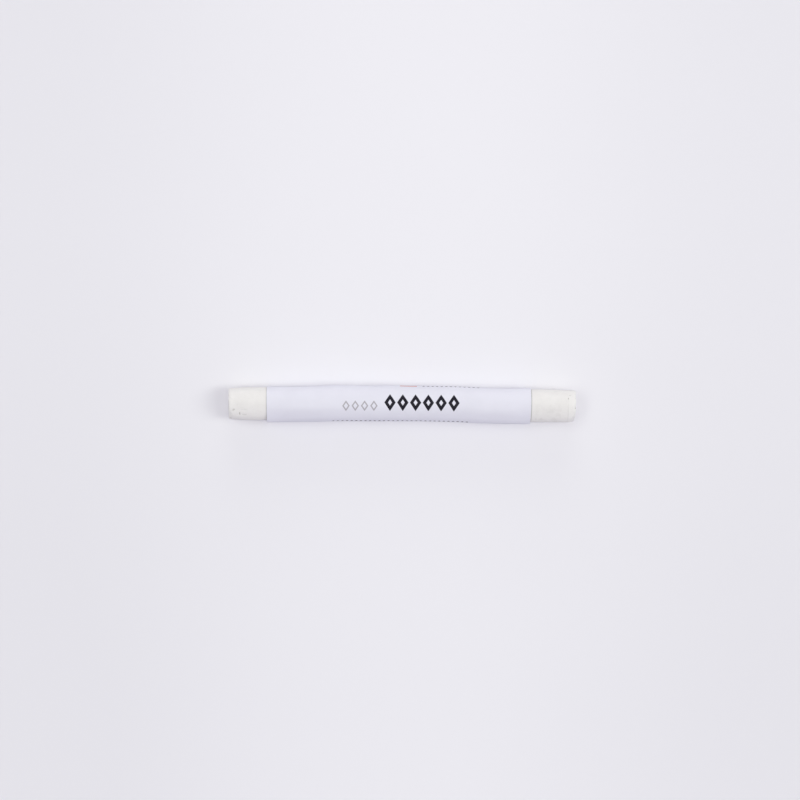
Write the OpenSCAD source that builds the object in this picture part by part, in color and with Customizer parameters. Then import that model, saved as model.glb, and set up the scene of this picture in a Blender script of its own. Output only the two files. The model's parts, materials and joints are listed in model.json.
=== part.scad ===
// Stick of white blackboard chalk in a paper label.
// It lies on its side along X with the floor at Z = 0. Angles round the stick start at
// the back (+Y), pass over the top (+Z) and reach the front (-Y) at 180 degrees.

/* [Chalk] */
// Diameter of the chalk where it is full size
chalk_d = 9.3; // [8:0.1:16]
// Bare chalk between the label and the square left tip
left_bare = 10.8; // [8:0.1:30]
// Bare chalk between the label and the worn right tip
right_bare = 12.7; // [10:0.1:30]
// Length over which each tip narrows
taper_length = 5.5; // [2:0.1:7]
// How much narrower the square left tip is, on the diameter
left_taper = 0.5; // [0.1:0.05:1.2]
// How much narrower the worn right tip is, on the diameter
right_taper = 0.15; // [0.1:0.05:1.2]
// Sideways bow of the whole stick, its middle against its ends
bow = 0.4; // [0.1:0.05:1]

/* [Tips] */
// Rounding of the square tip's edge
edge_round = 0.45; // [0.2:0.05:1]
// Length of the bevel that use has worn on the right tip
worn_length = 2; // [0.5:0.1:3]
// Depth of that bevel, on the radius
worn_depth = 0.15; // [0.1:0.05:0.8]
// Length of the corner broken off the worn tip's front, along the stick
corner_length = 1.5; // [0.5:0.1:3]
// Depth of that corner, on the radius
corner_depth = 1.1; // [0.3:0.05:1.5]

/* [Label] */
// Length of the label along the stick
label_length = 75; // [40:1:120]
// Thickness of the paper
paper_t = 0.1; // [0.06:0.01:0.2]
// How loose the label is: its mean clearance round the chalk, on the radius
label_gap = 0.28; // [0.05:0.01:0.5]
// Width of the glued overlap
lap_width = 7.3; // [5:0.1:11]
// Angle over which the paper climbs onto its own edge
lap_rise = 40; // [25:1:60]

/* [Hidden] */
$fn = 128;

chalk_r = chalk_d / 2;
square_tip_r = chalk_r - left_taper / 2;
worn_tip_r = chalk_r - right_taper / 2;
worn_face_r = worn_tip_r - worn_depth;

// The broken corner is a flat at the front, through the end face
corner_r = worn_face_r - corner_depth;
corner_tilt = atan((worn_tip_r - corner_r) / corner_length);

// The bend: an arc under the label, with the bare ends straight on from it
bare_mean = (left_bare + right_bare) / 2;
bend_r = round(label_length * (label_length / 8 + bare_mean / 2) / bow);
bend_half = label_length / bend_r * 90 / PI;
bend_sag = bend_r * (1 - cos(bend_half));
bend_fn = ceil(360 / bend_half) * 12;

// The straight ends reach in under the label, where the bent middle enters them
root_length = 0.8;
root_depth = 0.5;
root_step = 0.02;

// The label's rings, from the inside out
label_r1 = chalk_r + label_gap;
label_r2 = label_r1 + paper_t;
label_r3 = label_r2 + paper_t;
inner_edge = 275;
lap_angle = lap_width / label_r2 * 180 / PI;
rise_start = inner_edge - 360 + lap_rise;

// The chalk lies at the bottom of the loose label, so the label's own middle is higher
lie_clearance = 0.03;
label_lift = label_gap - lie_clearance;

// Middle of the chalk's bend, so that the label lies on the floor over the origin
mid_x = (left_bare - right_bare) / 2;
mid_y = bend_sag / 2;
mid_z = label_r3 - label_lift;

// Pits in the bare chalk: distance from the tip, angle round the stick, radius, depth
left_pits = [
    [1.5, 113, 0.4, 0.25],
    [3.2, 124, 0.3, 0.3],
];
right_pits = [
    [2.2, 60, 0.3, 0.25],
];

// Turns its children about the centre of the bend
module on_bend(turn) {
    translate([mid_x, mid_y, mid_z])
        translate([0, -bend_r, 0])
            rotate([0, 0, turn])
                children();
}

// Sweeps a section along the bend, stopping short of the label's ends by an inset
module sweep_bend(inset = 0) {
    half = bend_half * (1 - 2 * inset / label_length);
    on_bend(90 - half)
        rotate_extrude(angle = 2 * half, $fn = bend_fn)
            translate([bend_r, 0])
                let ($fn = 128)
                    children();
}

// Stands its children, drawn upwards along Z, straight out from one end of the bend
module out_of_bend(side) {
    on_bend(-side * bend_half)
        translate([0, bend_r, 0])
            rotate([0, 90 * side, 0])
                children();
}

// Half outline of the square tip: full size, narrowing, with its edge rounded
module square_tip_outline() {
    difference() {
        polygon([
            [0, -root_length],
            [chalk_r, -root_length],
            [chalk_r, left_bare - taper_length],
            [square_tip_r, left_bare - edge_round],
            [square_tip_r, left_bare],
            [0, left_bare],
        ]);
        translate([square_tip_r - edge_round, left_bare - edge_round])
            difference() {
                square(2 * edge_round);
                circle(edge_round);
            }
    }
}

// Half outline of the worn tip: full size, narrowing, with a shallow bevel
module worn_tip_outline() {
    polygon([
        [0, -root_length],
        [chalk_r, -root_length],
        [chalk_r, right_bare - taper_length],
        [worn_tip_r, right_bare - worn_length],
        [worn_face_r, right_bare],
        [0, right_bare],
    ]);
}

// A pit that narrows inwards, cut at a distance from the tip and an angle round the stick
module pit(side, bare, tip_r, at) {
    rotate([0, 0, 90 + side * at[1]])
        translate([tip_r - at[3], 0, bare - at[0]])
            rotate([0, 90, 0])
                cylinder(h = chalk_r, r1 = at[2] / 2, r2 = at[2] / 2 + chalk_r);
}

// What is gone from the worn tip's front corner, as a block behind the flat of the break
module broken_corner() {
    translate([0, -corner_r, right_bare])
        rotate([-corner_tilt, 0, 0])
            translate([-chalk_d, -2 * chalk_d, -chalk_d])
                cube(2 * chalk_d);
}

module chalk_stick() {
    color("#EBE8E4")
        union() {
            sweep_bend(root_length - root_depth)
                circle(chalk_r - root_step);
            out_of_bend(-1)
                difference() {
                    rotate_extrude()
                        square_tip_outline();
                    for (at = left_pits)
                        pit(-1, left_bare, square_tip_r, at);
                }
            out_of_bend(1)
                difference() {
                    rotate_extrude()
                        worn_tip_outline();
                    broken_corner();
                    for (at = right_pits)
                        pit(1, right_bare, worn_tip_r, at);
                }
        }
}

// A flat wedge from the stick's middle, out past the label, between two angles
module wedge(from, to) {
    steps = 12;
    polygon([
        [0, 0],
        for (i = [0 : steps])
            let (a = from + (to - from) * i / steps)
                2 * label_r3 * [cos(a), sin(a)],
    ]);
}

// Offset of a circle that leaves radius r and is one paper thickness out after lap_rise
function rise_offset(r) =
    paper_t * (2 * r + paper_t) / (2 * (r - (r + paper_t) * cos(lap_rise)));

// Disc whose edge climbs by one paper thickness over lap_rise
module rise_disc(r) {
    e = rise_offset(r);
    translate(-e * [cos(rise_start), sin(rise_start)])
        circle(r + e);
}

// The rolled paper on end: once round, up over its own edge, and the glued overlap
module label_section() {
    intersection() {
        difference() {
            circle(label_r2);
            circle(label_r1);
        }
        wedge(rise_start, inner_edge);
    }
    intersection() {
        difference() {
            rise_disc(label_r2);
            rise_disc(label_r1);
        }
        wedge(inner_edge - 360, rise_start);
    }
    intersection() {
        difference() {
            circle(label_r3);
            circle(label_r2);
        }
        wedge(inner_edge - lap_angle, inner_edge);
    }
}

module paper_wrapper() {
    color("#E6E6F2")
        sweep_bend()
            translate([0, label_lift])
                label_section();
}

chalk_stick();
paper_wrapper();
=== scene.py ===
import itertools
import json
import math

import bpy
import numpy as np
from mathutils import Matrix, Vector


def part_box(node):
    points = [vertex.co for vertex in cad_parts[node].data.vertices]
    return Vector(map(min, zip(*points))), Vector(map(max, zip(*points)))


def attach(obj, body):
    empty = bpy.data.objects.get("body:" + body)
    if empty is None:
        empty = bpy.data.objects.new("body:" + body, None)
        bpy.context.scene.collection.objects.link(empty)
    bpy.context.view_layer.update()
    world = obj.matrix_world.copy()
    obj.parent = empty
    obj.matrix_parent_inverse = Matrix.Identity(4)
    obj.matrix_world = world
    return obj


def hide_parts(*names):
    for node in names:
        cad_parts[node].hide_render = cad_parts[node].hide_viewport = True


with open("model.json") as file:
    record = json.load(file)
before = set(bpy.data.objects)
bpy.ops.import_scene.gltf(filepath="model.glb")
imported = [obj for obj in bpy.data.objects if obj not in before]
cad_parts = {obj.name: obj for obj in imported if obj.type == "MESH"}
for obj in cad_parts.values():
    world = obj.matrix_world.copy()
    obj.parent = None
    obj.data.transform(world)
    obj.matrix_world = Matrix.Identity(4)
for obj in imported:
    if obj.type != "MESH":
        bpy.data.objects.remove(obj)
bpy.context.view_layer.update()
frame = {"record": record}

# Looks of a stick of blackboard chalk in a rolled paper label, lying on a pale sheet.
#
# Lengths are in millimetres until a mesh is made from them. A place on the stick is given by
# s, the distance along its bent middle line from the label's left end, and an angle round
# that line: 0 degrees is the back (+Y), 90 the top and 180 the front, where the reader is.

MM = 0.001

# -------------------------------------------------------------- the stick's middle line

MOUNTS = {mount["name"]: mount for mount in frame["record"]["mounts"]}


def grip(name):
    """A grip's radius, its start beside the label and the direction from there to the tip."""
    mount = MOUNTS[name]
    axis = np.array(mount["axis"])
    start = np.array(mount["pos_m"]) / MM - axis * mount["dims"]["length_mm"] / 2
    return mount["dims"]["r_mm"], start, axis


CHALK_R, LEFT_JOINT, LEFT_AXIS = grip("square_end_grip")
RIGHT_JOINT = grip("worn_end_grip")[1]
SQUARE_END = np.array(MOUNTS["square_end"]["pos_m"]) / MM
CHALK_BOX_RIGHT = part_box("chalk_stick")[1][0] / MM

BEND_HALF = math.asin(-LEFT_AXIS[1])
BEND_R = (RIGHT_JOINT[0] - LEFT_JOINT[0]) / 2 / math.sin(BEND_HALF)
LABEL_LENGTH = 2 * BEND_R * BEND_HALF
BEND_SAG = BEND_R * (1 - math.cos(BEND_HALF))

# The paper label is loose: its own middle line lies LABEL_UP above the chalk's, and LABEL_BACK,
# next to nothing, behind it. LABEL_R is its radius in the middle of the paper. The overlap is
# at the bottom, and takes the label's box one paper thickness further down.
PAPER_T = 0.1
LABEL_LOW, LABEL_HIGH = (np.array(corner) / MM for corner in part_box("paper_wrapper"))
LABEL_Z = (LABEL_LOW[2] + LABEL_HIGH[2] + PAPER_T) / 2
LABEL_R = LABEL_HIGH[2] - LABEL_Z - PAPER_T / 2
LABEL_UP = LABEL_Z - LEFT_JOINT[2]
LABEL_BACK = LABEL_HIGH[1] - LABEL_R - PAPER_T / 2 - BEND_SAG - LEFT_JOINT[1]


def place(s, back, up):
    """Points at s, this far towards the back and up from the chalk's middle line."""
    turn = BEND_HALF * (1 - 2 * np.clip(s / LABEL_LENGTH, 0, 1))
    past = s - np.clip(s, 0, LABEL_LENGTH)
    x = BEND_R * (math.sin(BEND_HALF) - np.sin(turn)) + past * np.cos(turn) - back * np.sin(turn)
    y = BEND_R * (np.cos(turn) - math.cos(BEND_HALF)) + past * np.sin(turn) + back * np.cos(turn)
    return LEFT_JOINT + np.stack([x, y, up + 0 * x], axis=-1)


def under_label(s):
    """How far in from the label's nearer end a place is, below 0 on the bare chalk."""
    return np.minimum(s, LABEL_LENGTH - s)


# -------------------------------------------------------------- noise and small helpers


def hashed(i, j, k, seed):
    """A fixed number from 0 to 1 for each point of a lattice."""
    h = (i * 374761393 + j * 668265263 + k * 1442695041 + seed * 974711) & 0xFFFFFFFF
    h = ((h ^ (h >> 13)) * 1274126177) & 0xFFFFFFFF
    return (h ^ (h >> 16)) / 0xFFFFFFFF


def noise(points, cell, seed):
    """Smooth noise from -1 to 1, with bumps about as far apart as the cell is wide."""
    at = points / cell
    base = np.floor(at).astype(np.int64)
    share = at - base
    share = share * share * (3 - 2 * share)
    total = 0
    for corner in itertools.product((0, 1), repeat=3):
        weight = np.prod(np.where(corner, share, 1 - share), axis=-1)
        i, j, k = np.moveaxis(base + corner, -1, 0)
        total = total + weight * hashed(i, j, k, seed)
    return 2 * total - 1


def layered(points, layers):
    """The sum of some layers of noise: the height, cell and seed of each."""
    return sum(height * noise(points, cell, seed) for height, cell, seed in layers)


def ramp(value, start, end):
    """0 at start, 1 at end, smooth between them."""
    t = np.clip((value - start) / (end - start), 0, 1)
    return t * t * (3 - 2 * t)


def angle_between(a, b):
    """The signed difference of two angles, from -pi to pi."""
    return (a - b + math.pi) % (2 * math.pi) - math.pi


def mesh_object(name, points, faces, material, attributes):
    """A smooth-shaded object from points in millimetres, with one value per point for each
    attribute."""
    mesh = bpy.data.meshes.new(name)
    mesh.from_pydata((points * MM).tolist(), [], [face.tolist() for face in faces])
    mesh.validate()
    mesh.shade_smooth()
    for key, values in attributes.items():
        kind = "FLOAT" if values.ndim == 1 else "FLOAT_VECTOR"
        field = "value" if values.ndim == 1 else "vector"
        layer = mesh.attributes.new(key, kind, "POINT")
        layer.data.foreach_set(field, values.astype(np.float32).ravel())
    mesh.materials.append(material)
    made = bpy.data.objects.new(name, mesh)
    bpy.context.scene.collection.objects.link(made)
    return made


# -------------------------------------------------------------- the chalk's shape

TAPER_LENGTH = 5.5
TAPER_POWER = 1.3
LEFT_TAPER = 0.5
RIGHT_TAPER = 0.15
SQUARE_ROUND = 0.45
WORN_ROUND = 0.08
WORN_LENGTH = 2.0
WORN_DEPTH = 0.15
WORN_LEAN = 0.10  # the bevel is this much deeper low at the front, and shallower behind
WORN_TOWARDS = math.radians(205)
RIM_LENGTH = 0.9  # the worn rim is rounded over, mostly at the top
RIM_DEPTH = 0.35
RIM_TOWARDS = math.radians(100)
CORNER_LENGTH = 1.5
CORNER_DEPTH = 1.1
CORNER_TOWARDS = math.radians(160)
HIDDEN_INSET = 0.03  # how much thinner the chalk is well in under the label

SQUARE_TIP_R = CHALK_R - LEFT_TAPER / 2
WORN_TIP_R = CHALK_R - RIGHT_TAPER / 2
WORN_FACE_R = WORN_TIP_R - WORN_DEPTH
CORNER_R = WORN_FACE_R - CORNER_DEPTH

LEFT_END = -float(np.linalg.norm(SQUARE_END - LEFT_JOINT))
RIGHT_BARE = (CHALK_BOX_RIGHT - RIGHT_JOINT[0]) / math.cos(BEND_HALF)
RIGHT_BARE -= WORN_FACE_R * math.tan(BEND_HALF)
RIGHT_END = LABEL_LENGTH + RIGHT_BARE

RING_STEP = 0.12  # spacing of the chalk's rings where it is bare
HIDDEN_STEP = 5.0  # and under the label
FACE_STEP = 0.16  # and on its end faces
RIM_STEPS = 5  # rings over the rounding of a rim
SEGMENTS = 240

# How far in under the label the close rings go on, where the chalk's detail fades out, and
# where the chalk gets thinner
CLOSE_REACH = 1.3
DETAIL_FADE = (1.2, 0.4)
INSET_FADE = (0.6, 1.6)

# Layers of noise: height, size of the bumps and seed
SWELL = [(0.030, 4.5, 1), (0.008, 1.4, 2)]
GRAIN = [(0.005, 0.42, 3), (0.004, 0.24, 4)]
CRUMBS = [(0.045, 1.1, 5), (0.030, 0.45, 6)]

# Marks of use: tip, distance from it, angle, half length along, half width round, depth, grime.
# On the row along the square tip's rim, the grime is painted shade
WEAR = [
    ("left", 1.45, 113, 0.36, 0.32, 0.12, 0.33),
    ("left", 1.20, 121, 0.16, 0.16, 0.05, 0.00),
    ("left", 3.20, 128, 0.14, 0.70, 0.16, 0.60),
    ("left", 4.40, 114, 1.10, 0.30, 0.11, 0.00),
    ("left", 4.50, 132, 0.70, 0.28, 0.08, 0.15),
    ("left", 0.45, 158, 0.50, 0.45, 0.12, 0.25),
    ("left", 0.55, 138, 0.80, 1.30, 0.02, 0.07),
    # This row is painted shade along the front of the square tip's rim, where the rounded edge
    # faces away from the lamps; its dent is slight
    ("left", 0.05, 125, 0.28, 4.80, 0.02, 0.05),
    ("left", 8.90, 40, 0.40, 0.30, 0.03, 0.06),
    ("left", 4.20, 301, 0.50, 0.40, 0.12, 0.30),
    ("left", 7.00, 236, 0.60, 0.25, 0.08, 0.20),
    ("right", 2.15, 62, 0.15, 0.34, 0.08, 0.50),
    ("right", 1.75, 48, 0.32, 0.22, 0.05, 0.20),
    ("right", 0.30, 38, 0.16, 0.22, 0.05, 0.16),
    ("right", 0.20, 58, 0.15, 0.26, 0.06, 0.22),
    ("right", 0.05, 97, 0.18, 0.28, 0.14, 0.85),
    ("right", 2.15, 118, 0.14, 4.20, 0.03, 0.09),
    ("right", 11.2, 148, 0.25, 0.55, 0.03, 0.12),
    ("right", 5.50, 262, 0.55, 0.45, 0.12, 0.30),
    ("right", 8.00, 318, 0.40, 0.30, 0.09, 0.25),
]

BUBBLES = 30  # small holes that air left in the moulded surface
BUBBLE_RADIUS = (0.06, 0.12)
BUBBLE_DEPTH = 0.7  # in proportion to the radius
BUBBLE_SEED = 5

CHIP_SHARE = 0.7  # of a chip's size, along the stick and towards its middle alike
STAIN_TOWARDS = math.radians(140)
STAIN_GRIME = 0.10
TRACE_GRIME = 0.02
# Painted shade in the crevices under the label's edges: how strong it is under the left edge and
# under the right one
LINE_PAINTED_SHADE = (0.47, 0.85)  # under the label's left edge and under its right one


def side_radius(s):
    """Radius of the moulded side, narrower towards both tips."""
    to_left, to_right = s - LEFT_END, RIGHT_END - s
    left = np.clip(1 - to_left / TAPER_LENGTH, 0, 1) ** TAPER_POWER * LEFT_TAPER / 2
    right = np.clip(1 - to_right / TAPER_LENGTH, 0, 1) ** TAPER_POWER * RIGHT_TAPER / 2
    return CHALK_R - left - right - ramp(under_label(s), *INSET_FADE) * HIDDEN_INSET


def tip_rows(end, inwards, tip_r, rounding):
    """Rows of s, radius and outward normal from the middle of an end face over its rim."""
    face_r = tip_r - rounding
    face = np.linspace(RING_STEP, face_r, round(face_r / FACE_STEP))
    bend = np.linspace(0, math.pi / 2, RIM_STEPS + 1)[1:]
    s = np.concatenate([face * 0, rounding * (1 - np.cos(bend))])
    radius = np.concatenate([face, face_r + rounding * np.sin(bend)])
    out = np.concatenate([face * 0, np.sin(bend)])
    along = -inwards * np.concatenate([face * 0 + 1, np.cos(bend)])
    return np.stack([end + inwards * s, radius, along, out], axis=-1)


def chalk_rows():
    """The stick's outline, from the middle of the square face to that of the worn one."""
    left = tip_rows(LEFT_END, 1, SQUARE_TIP_R, SQUARE_ROUND)
    right = tip_rows(RIGHT_END, -1, WORN_TIP_R, WORN_ROUND)[::-1]
    s = np.concatenate([
        np.arange(LEFT_END + SQUARE_ROUND + RING_STEP, CLOSE_REACH, RING_STEP),
        np.arange(HIDDEN_STEP, LABEL_LENGTH - HIDDEN_STEP / 2, HIDDEN_STEP),
        np.arange(LABEL_LENGTH - CLOSE_REACH, RIGHT_END - WORN_ROUND - RING_STEP / 2, RING_STEP),
    ])
    side = np.stack([s, side_radius(s), s * 0, s * 0 + 1], axis=-1)
    return np.concatenate([left, side, right])


def worn_share(s, angle):
    """What is left of the radius near the worn tip: bevel, rounded rim and broken corner."""
    to_end = RIGHT_END - s
    depth = WORN_DEPTH + WORN_LEAN * np.cos(angle - WORN_TOWARDS)
    radius = side_radius(s) - depth * np.clip(1 - to_end / WORN_LENGTH, 0, 1)
    rounded = ramp(np.cos(angle - RIM_TOWARDS), 0.1, 0.7)
    radius = radius - RIM_DEPTH * rounded * np.clip(1 - to_end / RIM_LENGTH, 0, 1) ** 2
    slope = (WORN_TIP_R - CORNER_R) / CORNER_LENGTH
    flat = (CORNER_R + slope * to_end) / np.maximum(np.cos(angle - CORNER_TOWARDS), 0.05)
    return np.minimum(radius, flat) / side_radius(s)


def unevenness(points, crumbly, bare):
    """How far the surface stands out from its nominal place. crumbly is 1 on the worn end
    and bare is 0 where the label hides the chalk."""
    moulded = layered(points, SWELL) + layered(points, GRAIN)
    return bare * (moulded + crumbly * layered(points, CRUMBS))


def bubbles(points):
    """Depth of the small air holes, at random places of the surface."""
    rng = np.random.default_rng(BUBBLE_SEED)
    depth = np.zeros(points.shape[:-1])
    rows, columns = depth.shape
    for _ in range(BUBBLES):
        centre = points[rng.integers(rows), rng.integers(columns)]
        radius = rng.uniform(*BUBBLE_RADIUS)
        away = np.linalg.norm(points - centre, axis=-1) / radius
        depth = np.maximum(depth, BUBBLE_DEPTH * radius * np.clip(1 - away**2, 0, 1))
    return depth


def wear_marks(s, angle, radius, inset, points):
    """Depth and darkening of the marks in WEAR, with ragged outlines: grime, and on one mark
    painted shade along the square tip's rim.
    inset is how far a point lies in from the rim, on an end face."""
    depth, grime_and_shade = np.zeros_like(radius), np.zeros_like(radius)
    ragged = 1 + 0.35 * noise(points, 0.4, 7)
    for tip, distance, turn, half_long, half_wide, deep, dirt_and_shade in WEAR:
        centre = LEFT_END + distance if tip == "left" else RIGHT_END - distance
        along = (s - centre) / half_long
        around = radius * angle_between(angle, math.radians(turn)) / half_wide
        inwards = inset / half_wide
        inside = np.clip(1 - (along**2 + around**2 + inwards**2) * ragged**2, 0, 1)
        depth = np.maximum(depth, deep * ramp(inside, 0, 0.8))
        grime_and_shade = np.maximum(grime_and_shade, dirt_and_shade * ramp(inside, 0, 0.5))
    return depth, grime_and_shade


def chips(s, angle, radius, points):
    """Size of the small chips along the rims of both end faces, largest at the top."""
    left = ramp(np.abs(s - LEFT_END) + np.abs(radius - SQUARE_TIP_R), 0.9, 0.3)
    right = ramp(RIGHT_END - s + np.abs(radius - WORN_FACE_R), 0.8, 0.2)
    size = 0.05 + 0.12 * ramp(np.cos(angle - RIM_TOWARDS), -0.2, 0.7)
    places = ramp(layered(points, [(1, 0.8, 12), (0.3, 0.3, 13)]), 0.15, 1)
    return np.maximum(left, right) * size * places


def stains(s, angle, points):
    """Faint handling stains high on the worn end's front, and a trace elsewhere."""
    to_end = RIGHT_END - s
    where = ramp(to_end, 1.5, 3.5) * ramp(to_end, RIGHT_BARE, RIGHT_BARE - 1.7)
    front = np.maximum(0, np.cos(angle - STAIN_TOWARDS))
    blotches = ramp(layered(points, [(1, 1.3, 8), (0.5, 0.6, 9)]), -0.1, 0.9)
    traces = ramp(layered(points, [(1, 2.1, 10), (0.4, 0.7, 11)]), 0.3, 1.2)
    return STAIN_GRIME * where * front**2 * blotches + TRACE_GRIME * traces


def label_edge_painted_shade(s):
    """Painted shade: darkening on the chalk in the corner under the label's edges, where the
    crevice lies in shade.
    """
    return np.where(s < 0, *LINE_PAINTED_SHADE) * ramp(under_label(s), -0.24, -0.04)


def chalk_faces(rows):
    """Quads between neighbouring rings, and a fan over each end face."""
    ring = np.arange(rows * SEGMENTS).reshape(rows, SEGMENTS)
    beside = np.roll(ring, -1, axis=1)
    quads = np.stack([ring[:-1], beside[:-1], beside[1:], ring[1:]], axis=-1).reshape(-1, 4)
    first, last = rows * SEGMENTS, rows * SEGMENTS + 1
    left = np.stack([ring[0] * 0 + first, beside[0], ring[0]], axis=-1)
    right = np.stack([ring[0] * 0 + last, ring[-1], beside[-1]], axis=-1)
    return [*quads, *left, *right]


def chalk_rings():
    """s, angle and radius of the points of an unused stick, ring by ring, and which way its
    surface faces there: how much along the stick and how much outwards."""
    rows = chalk_rows()
    angle = np.linspace(0, 2 * math.pi, SEGMENTS, endpoint=False)[None, :]
    s, radius, along, out = (rows[:, i, None] + 0 * angle for i in range(4))
    return s, angle + 0 * s, radius, along, out


def chalk_surface():
    """s, angle and radius of the same points on the used stick, their grime and painted shade,
    and how fresh the chalk is there."""
    s, angle, radius, along, out = chalk_rings()
    inset = side_radius(s) - radius
    radius = radius * worn_share(s, angle)
    straight = np.stack([s, radius * np.cos(angle), radius * np.sin(angle)], axis=-1)

    to_end = RIGHT_END - s
    bevel = ramp(to_end, WORN_LENGTH + 0.3, WORN_LENGTH - 0.1)
    fresh = bevel * (0.7 + 0.3 * noise(straight, 0.9, 14))
    crumbly = np.maximum(ramp(to_end, 0.5, 0.0), 0.1 * bevel)
    bare = ramp(under_label(s), *DETAIL_FADE)
    marks, grime_and_shade = wear_marks(s, angle, radius, inset, straight)
    offset = unevenness(straight, crumbly, bare) - (marks + bare * bubbles(straight))
    chipped = CHIP_SHARE * chips(s, angle, radius, straight)

    s = s + offset * along + chipped * np.where(s < 0, 1, -1)
    radius = radius + offset * out - chipped
    # Grime from marks and stains, plus painted shade in the corners under the label's edges
    grime_and_shade = np.clip(grime_and_shade + stains(s, angle, straight) + label_edge_painted_shade(s), 0, 1)
    return s, angle, radius, grime_and_shade, fresh


def make_chalk(material):
    """The chalk. The middles of its two end faces come last: both clean, the worn one fresh."""
    s, angle, radius, grime_and_shade, fresh = chalk_surface()
    points = place(s, radius * np.cos(angle), radius * np.sin(angle)).reshape(-1, 3)
    middles = place(np.array([s[0].mean(), s[-1].mean()]), 0, 0)
    points = np.concatenate([points, middles])
    points[:, 2] = np.maximum(points[:, 2], 0)
    # This darkening attribute holds grime and also painted shade, under the label's edges and
    # along the square tip's rim
    attributes = {"grime_and_shade": np.append(grime_and_shade, [0, 0]), "fresh": np.append(fresh, [0, 1])}
    made = mesh_object("chalk", points, chalk_faces(len(s)), material, attributes)
    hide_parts("chalk_stick")
    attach(made, "root")


# -------------------------------------------------------------- the label's shape

INNER_EDGE = 275  # angle of the paper's inner edge, where the overlap starts to lie on it
LAP_RISE = 40  # angle over which the paper climbs onto that edge
LAP_WIDTH = 7.3
LAP_CLEAR = 0.01
LAP_LIFT = 0.05  # how far the overlap's free edge has come up, and over what width
LIFT_WIDTH = 2.2

LAP_ANGLE = math.degrees(LAP_WIDTH / (LABEL_R + PAPER_T / 2))
OUTER_EDGE = INNER_EDGE - 360 - LAP_ANGLE

AROUND = 208  # points round the label and its overlap
ALONG = 138  # and along it, between its two ends
END_LENGTH = 2
END_COLUMNS = np.array([0, 0.05, 0.12, 0.22, 0.35, 0.5, 0.7, 0.95, 1.25, 1.6])

# How far the loose label has slipped towards the reader: s and distance
SLIP = [
    (0, 0.22), (6, 0.25), (16, 0.22), (23, 0),
    (54, 0), (61, 0.22), (68, 0.25), (LABEL_LENGTH, 0.02),
]
# Bulges and dents of the loose paper: s, half length, angle, half angle, height
BULGES = [
    (LABEL_LENGTH - 9, 8, 200, 40, 0.05),
    (LABEL_LENGTH - 1, 4, 195, 30, 0.20),
    (18, 5, 12, 35, 0.28),
    (18, 5, 188, 35, -0.12),
    (34, 5, 12, 35, 0.18),
    (42, 9, 188, 35, -0.12),
    (4, 4, 205, 30, 0.04),
    (10, 24, 107, 17, 0.26),
    (LABEL_LENGTH - 8, 14, 110, 17, 0.20),
]

WAVES = [(0.02, 4.5, 21), (0.008, 1.6, 22)]  # layers of noise: height, size and seed
WAVE_R = 5.0  # radius at which they are taken
STRETCH = 2.5  # and how much longer they are along the stick
CURL = 0.02  # how far the label's ends curl away from the chalk
CURL_LENGTH = 0.8
BOTTOM = math.radians(270)
TOUCH = 0.02  # least clearance between the paper and the chalk
SNUG = 0.85  # how far the loose label's mouths have sunk onto the top of the chalk
SNUG_LENGTH = 5.0


def label_columns():
    """Places along the label, closer together at its two ends."""
    middle = np.linspace(END_LENGTH, LABEL_LENGTH - END_LENGTH, ALONG)
    return np.concatenate([END_COLUMNS, middle, LABEL_LENGTH - END_COLUMNS[::-1]])


def bulging(s, angle):
    """How far the paper stands off a round tube, both layers alike, and not on the floor."""
    points = np.stack([s / STRETCH, WAVE_R * np.cos(angle), WAVE_R * np.sin(angle)], axis=-1)
    off = layered(points, WAVES)
    for centre, half_long, turn, half_turn, height in BULGES:
        along = (s - centre) / half_long
        around = angle_between(angle, math.radians(turn)) / math.radians(half_turn)
        off = off + height * np.exp(-(along**2 + around**2))
    curl = CURL * (0.6 + 0.4 * noise(points, 2.3, 23))
    off = off + curl * np.exp(-under_label(s) / CURL_LENGTH)
    lying = ramp(np.cos(angle - BOTTOM), 0.55, 0.95)
    return off * (1 - lying)


def label_tube(s, angle):
    """The paper's inner layer, as a distance and an angle round the chalk's middle line."""
    radius = LABEL_R + bulging(s, angle)
    slip = np.interp(s, *zip(*SLIP))
    back = LABEL_BACK - slip + radius * np.cos(angle)
    up = LABEL_UP + radius * np.sin(angle)
    least = CHALK_R + TOUCH + PAPER_T / 2
    distance = np.maximum(np.hypot(back, up), least)
    snug = SNUG * np.exp(-(under_label(s) / SNUG_LENGTH) ** 2) * ramp(np.sin(angle), 0.1, 0.8)
    return distance - snug * (distance - least), np.arctan2(up, back)


def lap_lift(s, turn):
    """How far the overlap has come away near its free edge."""
    to_edge = (turn - OUTER_EDGE) * math.radians(1) * LABEL_R
    wave = np.stack([s / 3, s * 0, s * 0], axis=-1)
    return LAP_LIFT * ramp(to_edge, LIFT_WIDTH, 0) * (1 + 0.8 * noise(wave, 2.6, 24))


def label_faces(columns, rows):
    """Quads of the outer and the inner face and of the four cut edges between them."""
    outer = np.arange(columns * rows).reshape(columns, rows)
    inner = outer + columns * rows

    def strip(a, b, c, d):
        return np.stack([a, b, c, d], axis=-1).reshape(-1, 4)

    return [
        *strip(outer[:-1, :-1], outer[1:, :-1], outer[1:, 1:], outer[:-1, 1:]),
        *strip(inner[:-1, :-1], inner[:-1, 1:], inner[1:, 1:], inner[1:, :-1]),
        *strip(outer[0, :-1], outer[0, 1:], inner[0, 1:], inner[0, :-1]),
        *strip(outer[-1, 1:], outer[-1, :-1], inner[-1, :-1], inner[-1, 1:]),
        *strip(outer[1:, 0], outer[:-1, 0], inner[:-1, 0], inner[1:, 0]),
        *strip(outer[:-1, -1], outer[1:, -1], inner[1:, -1], inner[:-1, -1]),
    ]


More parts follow.
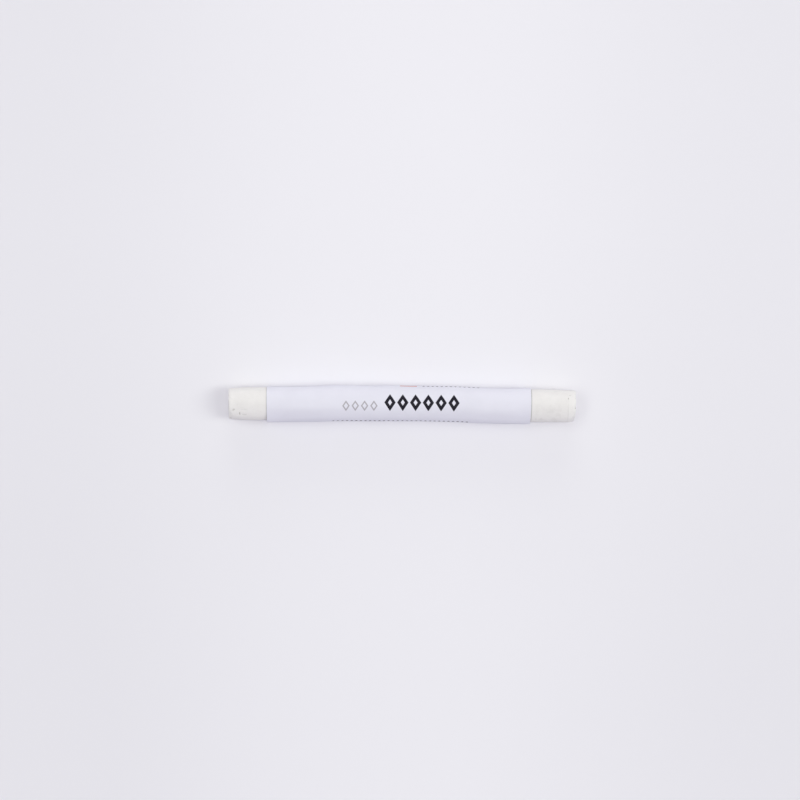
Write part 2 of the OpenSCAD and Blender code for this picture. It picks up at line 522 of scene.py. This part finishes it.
def make_label(material):
    """The label, one sheet from its inner edge round to the free edge of its overlap."""
    s = label_columns()[:, None]
    turn = np.linspace(INNER_EDGE, OUTER_EDGE, AROUND)[None, :] + 0 * s
    s = s + 0 * turn
    radius, angle = label_tube(s, np.radians(turn))
    climb = ramp(turn, INNER_EDGE - 360 + LAP_RISE, INNER_EDGE - 360)
    radius = radius + climb * (PAPER_T + LAP_CLEAR) + lap_lift(s, turn)
    radii = np.stack([radius + PAPER_T / 2, radius - PAPER_T / 2])
    points = place(s + 0 * radii, radii * np.cos(angle), radii * np.sin(angle)).reshape(-1, 3)
    points[:, 2] = np.maximum(points[:, 2], 0)

    # print_place is where a point lies on the sheet, and 1 on its face and 0 on its back
    forward = (turn - 90) * math.radians(1) * (LABEL_R + PAPER_T / 2)
    face = np.stack([s, forward, s * 0 + 1], axis=-1).reshape(-1, 3)
    back = face * [1, 1, 0]
    made = mesh_object("paper_label", points, label_faces(*s.shape), material,
                       {"print_place": np.concatenate([face, back])})
    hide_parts("paper_wrapper")
    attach(made, "root")


# -------------------------------------------------------------- materials


class Nodes:
    """Short calls for building the node tree of a material or a world."""

    def __init__(self, owner, shader):
        owner.use_nodes = True
        self.owner = owner
        self.tree = owner.node_tree
        self.shader = self.tree.nodes[shader]

    def put(self, socket, value):
        """Gives an input its value, or links it to another node's output."""
        if isinstance(value, bpy.types.NodeSocket):
            self.tree.links.new(value, socket)
        else:
            socket.default_value = value

    def add(self, kind, inputs=(), output=0, **settings):
        """A node with these settings and inputs; returns one of its outputs."""
        node = self.tree.nodes.new("ShaderNode" + kind)
        for key, value in settings.items():
            setattr(node, key, value)
        for key, value in dict(inputs).items():
            self.put(node.inputs[key], value)
        return node.outputs[output]

    def split(self, vector):
        """The three parts of a vector."""
        return self.add("SeparateXYZ", {"Vector": vector}).node.outputs

    def math(self, operation, a, b=0.0, c=0.0):
        return self.add("Math", {0: a, 1: b, 2: c}, operation=operation)

    def times(self, a, b):
        return self.math("MULTIPLY", a, b)

    def apart(self, a, b):
        """How far two values are apart."""
        return self.math("ABSOLUTE", self.math("SUBTRACT", a, b))

    def ramp(self, value, start, end, low=0.0, high=1.0):
        """value carried smoothly from start and end to low and high."""
        inputs = {"Value": value, "From Min": start, "From Max": end,
                  "To Min": low, "To Max": high}
        return self.add("MapRange", inputs, interpolation_type="SMOOTHSTEP")

    def mix(self, share, a, b):
        """Colour a where share is 0, and colour b where it is 1."""
        inputs = {0: share, 6: a, 7: b}
        return self.add("Mix", inputs, output=2, data_type="RGBA")

    def tint(self, base, colour, mask, strength):
        """base with a colour laid over it where mask is 1."""
        return self.mix(self.times(mask, strength), base, colour)

    def noise(self, where, scale, detail=2.0):
        return self.add("TexNoise", {"Vector": where, "Scale": scale, "Detail": detail})

    def attribute(self, name, output):
        return self.add("Attribute", output=output, attribute_name=name)

    def bump(self, height, distance, normal=None):
        inputs = {"Height": height, "Distance": distance, "Strength": 1.0}
        if normal is not None:
            inputs["Normal"] = normal
        return self.add("Bump", inputs)

    def shade(self, inputs):
        """Gives the shader its inputs."""
        for key, value in inputs.items():
            self.put(self.shader.inputs[key], value)


def material_nodes(name):
    return Nodes(bpy.data.materials.new(name), "Principled BSDF")


# Where two tones are given, they mix in soft clouds. The scales of noise in the materials
# are per metre, and the depths of bumps are in metres
GRAIN_DEPTH = 0.000012
PORE_DEPTH = 0.00002
FIBRE_DEPTH = 0.000006
FIBRE_STRETCH = (0.45, 1, 1)  # the fibres run along the label

CHALK_TONES = ((0.790, 0.774, 0.766, 1), (0.808, 0.793, 0.785, 1))
CHALK_DUST = (0.72, 0.70, 0.69, 1)
CHALK_PORE = (0.52, 0.50, 0.48, 1)
CHALK_FRESH = (0.825, 0.82, 0.812, 1)
# Dark tones for grime, also used for painted shade under the label's edges and along the square
# tip's rim
SOIL_AND_SHADE_TONES = ((0.22, 0.20, 0.175, 1), (0.26, 0.245, 0.20, 1))
PAPER_TONES = ((0.736, 0.732, 0.817, 1), (0.754, 0.750, 0.835, 1))
PAPER_FIBRE = (0.70, 0.69, 0.80, 1)
SHEET_TONES = ((0.838, 0.830, 0.878, 1), (0.846, 0.838, 0.886, 1))
# The sheet's colour where the painted light falloff is strongest, to the sides and in front
SHEET_PAINTED_SHADE = (0.758, 0.750, 0.798, 1)


def chalk_material():
    """Powdery moulded chalk: mottled off-white, pin holes, grime, painted shade under the
    label's edges and along the square tip's rim, and whiter worn places.
    """
    n = material_nodes("chalk")
    where = n.add("TexCoord", output="Object")
    clouds = n.noise(where, 260, 3)
    speckle = n.noise(where, 2600)
    pore = n.ramp(n.add("TexVoronoi", {"Vector": where, "Scale": 1500.0}), 0.24, 0.10)

    body = n.mix(n.ramp(clouds, 0.35, 0.65), *CHALK_TONES)
    body = n.tint(body, CHALK_DUST, n.ramp(speckle, 0.5, 0.75), 0.12)
    body = n.tint(body, CHALK_PORE, pore, 0.12)
    body = n.tint(body, CHALK_FRESH, n.attribute("fresh", "Fac"), 0.5)
    soil_and_shade = n.mix(n.ramp(clouds, 0.4, 0.6), *SOIL_AND_SHADE_TONES)

    grain = n.math("ADD", n.noise(where, 6500), n.times(speckle, 1.5))
    pitted = n.math("SUBTRACT", 1.0, pore)
    # The base colour darkens towards the dark tones by grime and by painted shade
    n.shade({"Base Color": n.mix(n.attribute("grime_and_shade", "Fac"), body, soil_and_shade),
             "Roughness": n.ramp(speckle, 0.3, 0.7, 0.86, 0.98),
             "Specular IOR Level": 0.25,
             "Normal": n.bump(pitted, PORE_DEPTH, n.bump(grain, GRAIN_DEPTH))})
    return n.owner


# The label's print, as plain shapes in millimetres: s along the label, and how far round
# from the top towards the reader
INK = (0.005, 0.003, 0.011, 1)
GREY_INK = (0.42, 0.40, 0.44, 1)
RED_INK = (0.62, 0.16, 0.10, 1)
SMALL_INK = (0.10, 0.095, 0.11, 1)
INK_EDGE = 0.05  # how softly a printed shape ends

# Rows of lozenges: left end, right end, how many, middle, height, width, stroke and ink
LOZENGES = [
    (33.3, 54.6, 6, -0.32, 4.9, 3.2, 0.865, INK),
    (21.4, 31.4, 4, 0.65, 3.0, 2.1, 0.366, GREY_INK),
    (18.4, 57.4, 30, 7.1, 1.5, 0.95, None, SMALL_INK),
    (44.0, 60.5, 13, -7.3, 1.3, 0.95, None, SMALL_INK),
]
BAR = (37.8, 42.6, -7.35, 1.4)  # left end, right end, middle and height


def lozenges(n, s, forward, left, right, count, middle, height, width, stroke):
    """Mask of a row of lozenges: full ones, or outlines that are one stroke wide."""
    pitch = (right - left - width) / (count - 1)
    start = left + width / 2 - pitch / 2
    step = n.math("DIVIDE", n.math("SUBTRACT", s, start), pitch)
    across = n.apart(n.math("FRACT", step), 0.5)
    up = n.math("DIVIDE", n.apart(forward, middle), height / 2)
    reach = n.math("MULTIPLY_ADD", across, pitch / (width / 2), up)
    edge = INK_EDGE / (width / 2)
    shape = n.ramp(reach, 1 + edge, 1 - edge)
    if stroke:
        hole = 1 - stroke * math.hypot(2 / width, 2 / height)
        shape = n.times(shape, n.ramp(reach, hole - edge, hole + edge))
    return n.times(shape, n.math("COMPARE", step, count / 2, count / 2))


def bar(n, s, forward, left, right, middle, height):
    """Mask of a plain bar."""
    along, half_long = n.apart(s, (left + right) / 2), (right - left) / 2
    up, half_high = n.apart(forward, middle), height / 2
    return n.times(n.ramp(along, half_long + INK_EDGE, half_long - INK_EDGE),
                   n.ramp(up, half_high + INK_EDGE, half_high - INK_EDGE))


def paper_material():
    """Smooth bluish-white label paper with faint fibres, printed with plain shapes."""
    n = material_nodes("label_paper")
    s, forward, face = n.split(n.attribute("print_place", "Vector"))
    where = n.add("TexCoord", output="Object")
    fibres = n.noise(n.add("Mapping", {"Vector": where, "Scale": FIBRE_STRETCH}), 3400, 3)

    paper = n.mix(n.ramp(n.noise(where, 140), 0.35, 0.65), *PAPER_TONES)
    paper = n.tint(paper, PAPER_FIBRE, n.ramp(fibres, 0.5, 0.8), 0.10)
    worn = n.ramp(n.noise(where, 5200), 0.35, 0.6, 0.985, 1.0)
    prints = [(lozenges(n, s, forward, *row), ink) for *row, ink in LOZENGES]
    prints.append((bar(n, s, forward, *BAR), RED_INK))
    for mask, ink in prints:
        paper = n.tint(paper, ink, n.times(mask, face), worn)

    n.shade({"Base Color": paper,
             "Roughness": n.ramp(fibres, 0.3, 0.7, 0.50, 0.62),
             "Specular IOR Level": 0.18,
             "Normal": n.bump(fibres, FIBRE_DEPTH)})
    return n.owner


def floor_material():
    """Pale lavender-white sheet with painted light falloff: darker to the sides, most to the
    left, and in front.
    The places where that starts and ends are in metres."""
    n = material_nodes("pale_sheet")
    where = n.add("TexCoord", output="Object")
    x, y = n.split(where)[:2]
    sheet = n.mix(n.ramp(n.noise(where, 9), 0.3, 0.7), *SHEET_TONES)
    # Painted light falloff: the sheet is painted darker away from the stick, to the sides, to
    # the left and in front
    aside = n.ramp(n.math("ABSOLUTE", x), 0.012, 0.11)
    near = n.ramp(y, 0.06, -0.10)
    left = n.ramp(x, 0.02, -0.10)
    painted_falloff = n.math("MULTIPLY_ADD", aside, 0.55, n.times(near, 0.38))
    painted_falloff = n.math("MULTIPLY_ADD", left, 0.20, painted_falloff)
    n.shade({"Base Color": n.mix(painted_falloff, sheet, SHEET_PAINTED_SHADE),
             "Roughness": 0.75,
             "Specular IOR Level": 0.2})
    return n.owner


# -------------------------------------------------------------- floor, lights and camera

FLOOR_HALF = 4000  # half the sheet's width

# Lamps at a great distance: name, height, direction (0 is to the right, 90 to the back) and
# width, in degrees, and strength
LIGHTS = [
    ("overhead", 90, 0, 14, 0.565),
    ("high_right", 60, 352, 20, 0.455),
    ("right", 45, 0, 20, 0.425),
    ("high_left", 60, 196, 20, 0.250),
    ("high_back_left", 60, 150, 20, 0.268),
    ("low_back", 15, 90, 36, 0.560),
]
LIGHT_COLOUR = (0.972, 1.0, 0.907)

# The room is dim, and dimmer on the near side. Its walls are pale, as far up as WALL_TOP.
# NEAR_SIDE and WALL_TOP are where one turns into the other, in Y and Z of the direction
ROOM = (0.453, 0.437, 0.486, 1)
NEAR_ROOM = (0.384, 0.360, 0.436, 1)
NEAR_SIDE = (-0.75, -0.10)
PALE_WALL = (0.850, 0.820, 0.918, 1)
WALL_TOP = (math.sin(math.radians(5)), math.sin(math.radians(16)))


def make_floor():
    """The pale sheet that the stick lies on."""
    corners = FLOOR_HALF * np.array([(-1, -1, 0), (1, -1, 0), (1, 1, 0), (-1, 1, 0)])
    floor = mesh_object("floor", corners, [np.arange(4)], floor_material(), {})


def make_light(name, height, direction, width, strength):
    """One lamp of LIGHTS, a soft sun."""
    data = bpy.data.lights.new(name, "SUN")
    data.energy = strength
    data.color = LIGHT_COLOUR
    data.angle = math.radians(width)
    light = bpy.data.objects.new(name, data)
    tilt = math.radians(90 - height)
    light.rotation_euler = (0, tilt, math.radians(direction))
    bpy.context.scene.collection.objects.link(light)


def make_world():
    """The even room, whose pale walls the table fades into in low views."""
    n = Nodes(bpy.data.worlds.new("soft_room"), "Background")
    _, y, z = n.split(n.add("TexCoord", output="Generated"))
    room = n.mix(n.ramp(y, *NEAR_SIDE), NEAR_ROOM, ROOM)
    n.shade({"Color": n.mix(n.ramp(z, *WALL_TOP), PALE_WALL, room)})
    bpy.context.scene.world = n.owner


# The camera, in metres
FIELD = 0.2277  # width of the view where the stick lies
CAMERA_HEIGHT = 0.80
CAMERA_LEFT = 0.020  # it stands a little left of the stick's middle
CAMERA_ROLL = math.radians(0.45)
VIEW_CENTRE = Vector((-0.0006, 0.00115, 0.005))


def make_camera():
    """Looks down on the stick, nearly straight."""
    data = bpy.data.cameras.new("camera")
    camera = bpy.data.objects.new("camera", data)
    camera.location = (VIEW_CENTRE.x - CAMERA_LEFT, VIEW_CENTRE.y, CAMERA_HEIGHT)
    back = camera.location - VIEW_CENTRE
    data.lens = data.sensor_width * back.length / FIELD
    z = back.normalized()
    x = Vector((0, 1, 0)).cross(z).normalized()
    turn = Matrix((x, z.cross(x), z)).transposed() @ Matrix.Rotation(CAMERA_ROLL, 3, "Z")
    camera.rotation_euler = turn.to_euler()
    bpy.context.scene.collection.objects.link(camera)
    bpy.context.scene.camera = camera


make_chalk(chalk_material())
make_label(paper_material())
make_floor()
for light in LIGHTS:
    make_light(*light)
make_world()
make_camera()
bpy.context.scene.view_settings.view_transform = "Standard"
